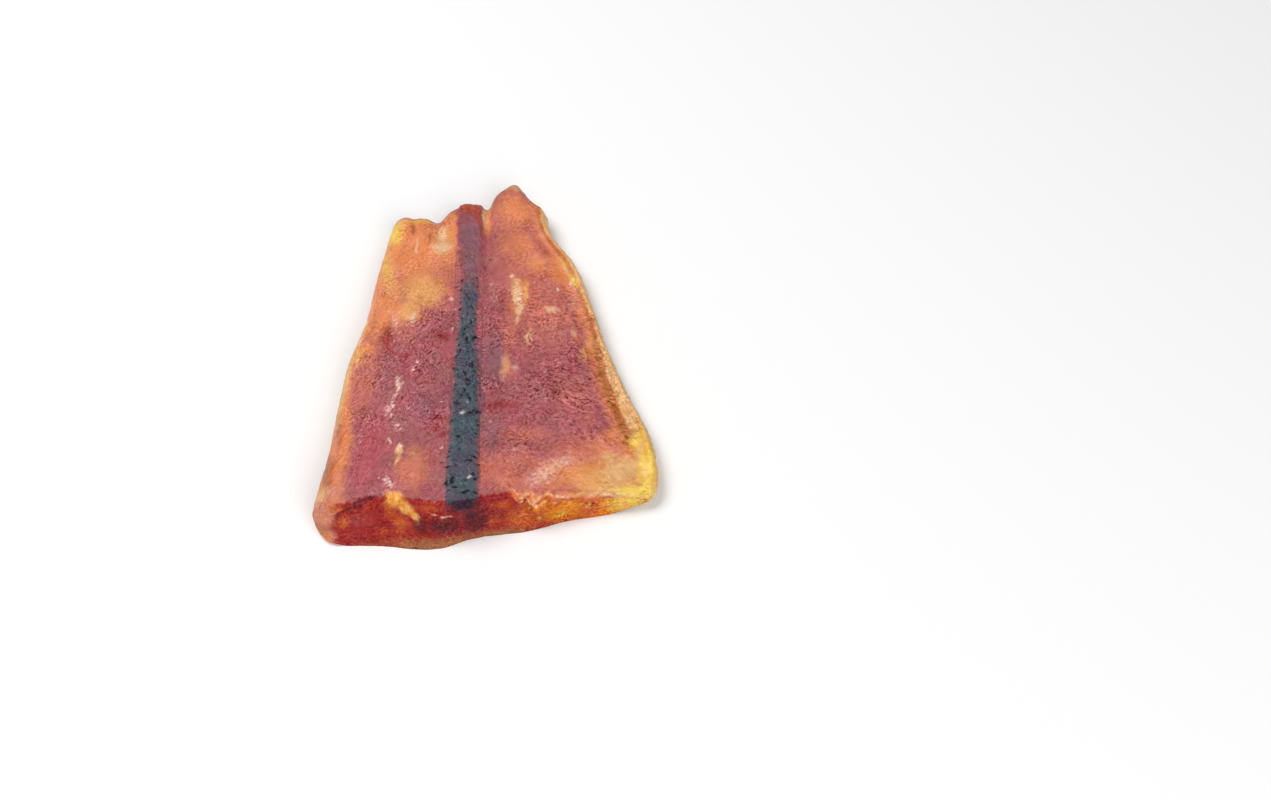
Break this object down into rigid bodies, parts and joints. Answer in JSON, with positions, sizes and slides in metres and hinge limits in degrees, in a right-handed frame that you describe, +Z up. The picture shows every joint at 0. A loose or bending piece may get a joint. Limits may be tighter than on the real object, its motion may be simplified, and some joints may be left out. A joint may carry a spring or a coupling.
{
  "type": "dried salmon fillet slice",
  "caption": "Flat wedge-shaped slice of dried salmon fillet with a thick slanted front cut, a dark lateral band, a beaded side edge and a narrow lobed back end.",
  "frame": {"origin": "on the surface the slice lies on, under the middle of its outline", "axes": "+Z up through the thickness, +Y along the dark band from the wide cut to the narrow lobed end, +X to the thin beaded edge"},
  "size_m": [0.0924, 0.1206, 0.0136],
  "materials": {
    "dried_salmon": "dried oily salmon flesh, mauve-red with orange and yellow fatty edges, satin and slightly translucent"
  },
  "bodies": {
    "root": {"fillet_slice": "dried_salmon"}
  },
  "joints": []
}
